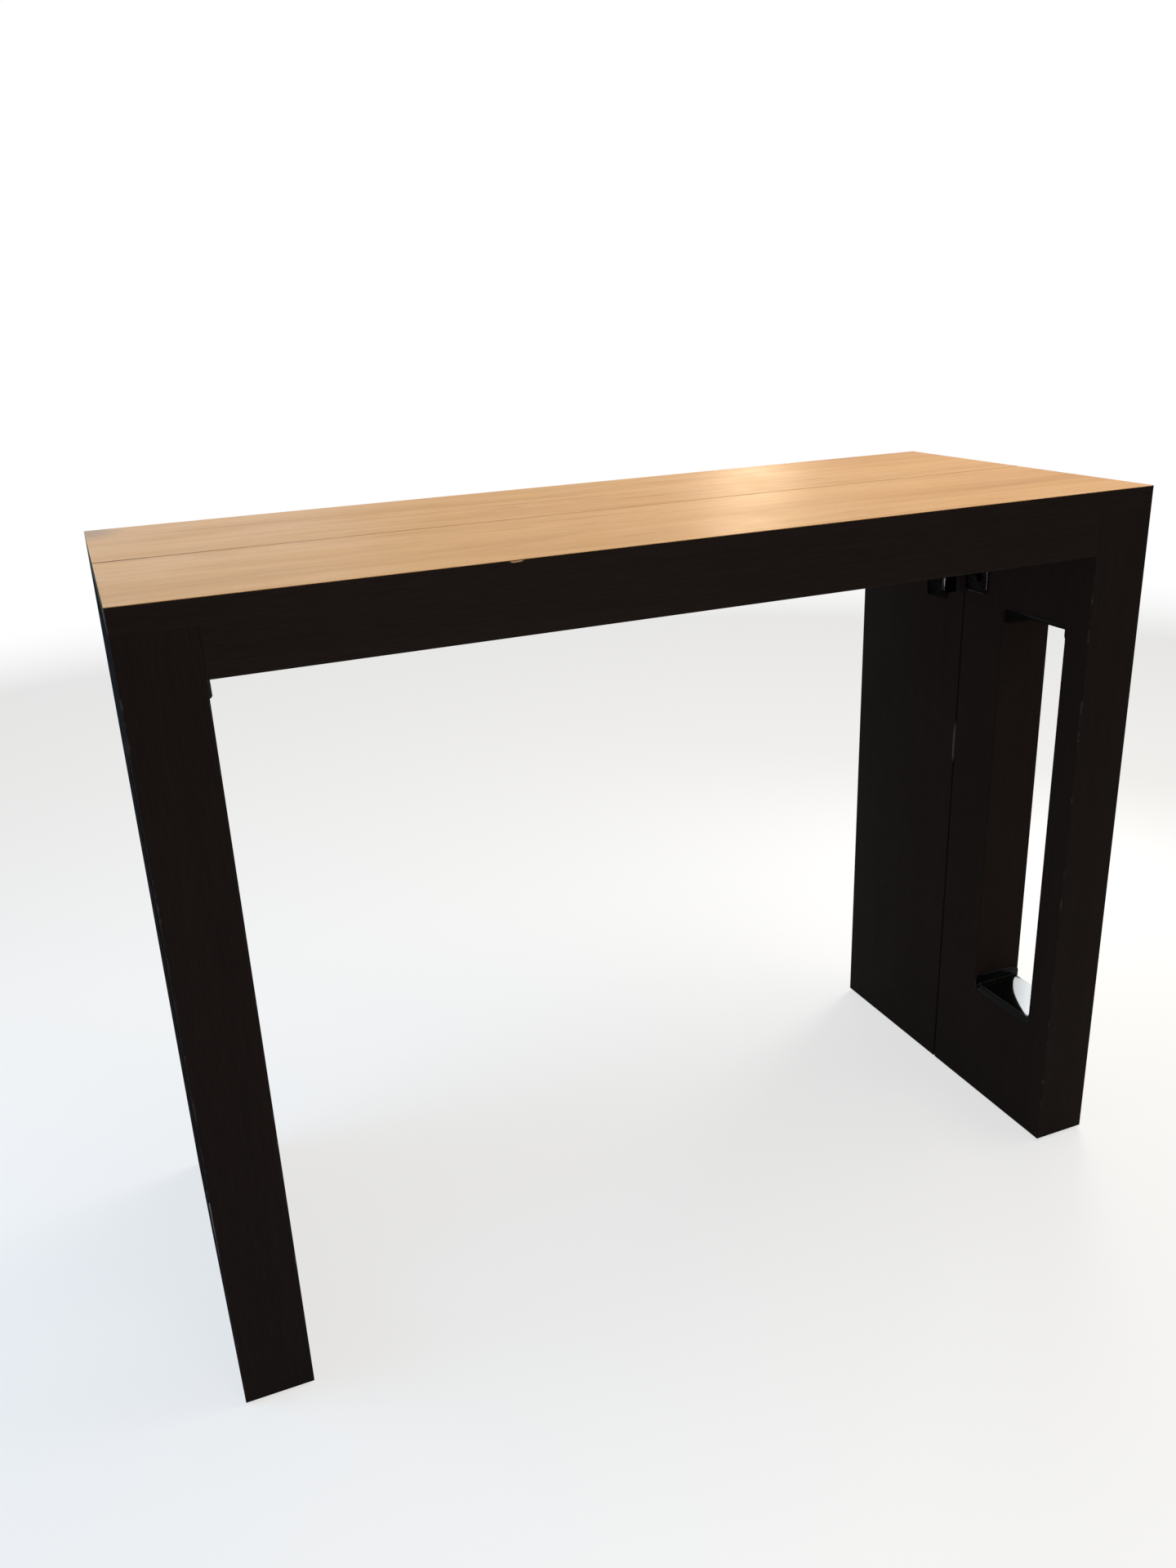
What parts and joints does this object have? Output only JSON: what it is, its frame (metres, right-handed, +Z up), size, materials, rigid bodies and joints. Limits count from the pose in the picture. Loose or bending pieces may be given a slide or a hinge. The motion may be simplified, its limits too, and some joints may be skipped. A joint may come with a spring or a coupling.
{
  "type": "extendable console table",
  "caption": "Console table in two halves that pull apart on telescopic runners to take leaves, with panel legs, windows in the front legs and a table lock.",
  "frame": {"origin": "on the floor under the middle of the closed table", "axes": "+X along the table's length, -Y towards the front half, +Z up"},
  "size_m": [1, 0.4, 0.77],
  "materials": {
    "oak_laminate": "honey oak print, satin, grain along the length",
    "dark_laminate": "espresso foil, satin, fine grain",
    "gloss_black": "polished black moulding",
    "chipboard": "raw chipboard",
    "beech": "turned beech",
    "paper_honeycomb": "kraft paper honeycomb",
    "aluminium": "extruded, natural anodised",
    "black_nickel": "black nickel-plated steel, rubbed bright along the edges",
    "zinc_steel": "zinc-plated steel",
    "nylon": "natural nylon"
  },
  "bodies": {
    "rear_half": {"rear_oak_sheet": "oak_laminate", "rear_top_board": "chipboard", "rear_top_edge_band": "dark_laminate", "rear_apron": "dark_laminate", "rear_leg_frame_left": "chipboard", "rear_leg_frame_right": "chipboard", "rear_leg_honeycomb": "paper_honeycomb", "rear_leg_inner_skin_left": "dark_laminate", "rear_leg_inner_skin_right": "dark_laminate", "rear_leg_outer_skin_left": "dark_laminate", "rear_leg_outer_skin_right": "dark_laminate", "rear_leg_edge_bands": "dark_laminate", "rear_glides": "nylon", "rear_corner_brackets": "zinc_steel", "rear_bracket_screws": "zinc_steel", "rear_runner_packers": "nylon", "rear_runner_screws": "zinc_steel", "seam_sleeves": "nylon", "latch_bases": "black_nickel", "latch_rivets": "black_nickel", "runner_bar_1_left": "aluminium", "runner_bar_1_right": "aluminium"},
    "front_half": {"front_oak_sheet": "oak_laminate", "front_top_board": "chipboard", "front_top_edge_band": "dark_laminate", "front_apron": "dark_laminate", "front_leg_frame_left": "chipboard", "front_leg_frame_right": "chipboard", "front_leg_inner_skin_left": "dark_laminate", "front_leg_inner_skin_right": "dark_laminate", "front_leg_outer_skin_left": "dark_laminate", "front_leg_outer_skin_right": "dark_laminate", "front_leg_edge_bands": "dark_laminate", "window_lining_left": "dark_laminate", "window_lining_right": "dark_laminate", "window_sill_caps": "gloss_black", "window_head_caps": "gloss_black", "front_glides": "nylon", "front_corner_brackets": "zinc_steel", "front_bracket_screws": "zinc_steel", "front_runner_packers": "nylon", "front_runner_screws": "zinc_steel", "seam_pins": "beech", "latch_keepers": "black_nickel", "keeper_studs": "black_nickel", "runner_bar_5_left": "aluminium", "runner_bar_5_right": "aluminium", "stop_pins_5": "zinc_steel"},
    "runner_stage_2": {"runner_bar_2_left": "aluminium", "runner_bar_2_right": "aluminium", "stop_pins_2": "zinc_steel"},
    "runner_stage_3": {"runner_bar_3_left": "aluminium", "runner_bar_3_right": "aluminium", "stop_pins_3": "zinc_steel"},
    "runner_stage_4": {"runner_bar_4_left": "aluminium", "runner_bar_4_right": "aluminium", "stop_pins_4": "zinc_steel"},
    "latch_lever_left": {"latch_lever_left": "black_nickel"},
    "latch_lever_right": {"latch_lever_right": "black_nickel"}
  },
  "joints": [
    {"name": "front_slide", "type": "slide", "parent": "rear_half", "child": "front_half", "axis": [0, -1, 0], "range_m": [0, 1]},
    {"name": "stage_2_slide", "type": "slide", "parent": "rear_half", "child": "runner_stage_2", "axis": [0, -1, 0], "range_m": [0, 0.25]},
    {"name": "stage_3_slide", "type": "slide", "parent": "rear_half", "child": "runner_stage_3", "axis": [0, -1, 0], "range_m": [0, 0.5]},
    {"name": "stage_4_slide", "type": "slide", "parent": "rear_half", "child": "runner_stage_4", "axis": [0, -1, 0], "range_m": [0, 0.75]},
    {"name": "latch_left_swing", "type": "hinge", "parent": "rear_half", "child": "latch_lever_left", "pos_m": [-0.431, 0.049, 0.654], "axis": [1, 0, 0], "range_deg": [0, 90]},
    {"name": "latch_right_swing", "type": "hinge", "parent": "rear_half", "child": "latch_lever_right", "pos_m": [0.431, 0.049, 0.654], "axis": [1, 0, 0], "range_deg": [0, 90]}
  ],
  "couplings": [
    {"joint": "stage_2_slide", "follows": "front_slide", "ratio": 0.25},
    {"joint": "stage_3_slide", "follows": "front_slide", "ratio": 0.5},
    {"joint": "stage_4_slide", "follows": "front_slide", "ratio": 0.75}
  ]
}
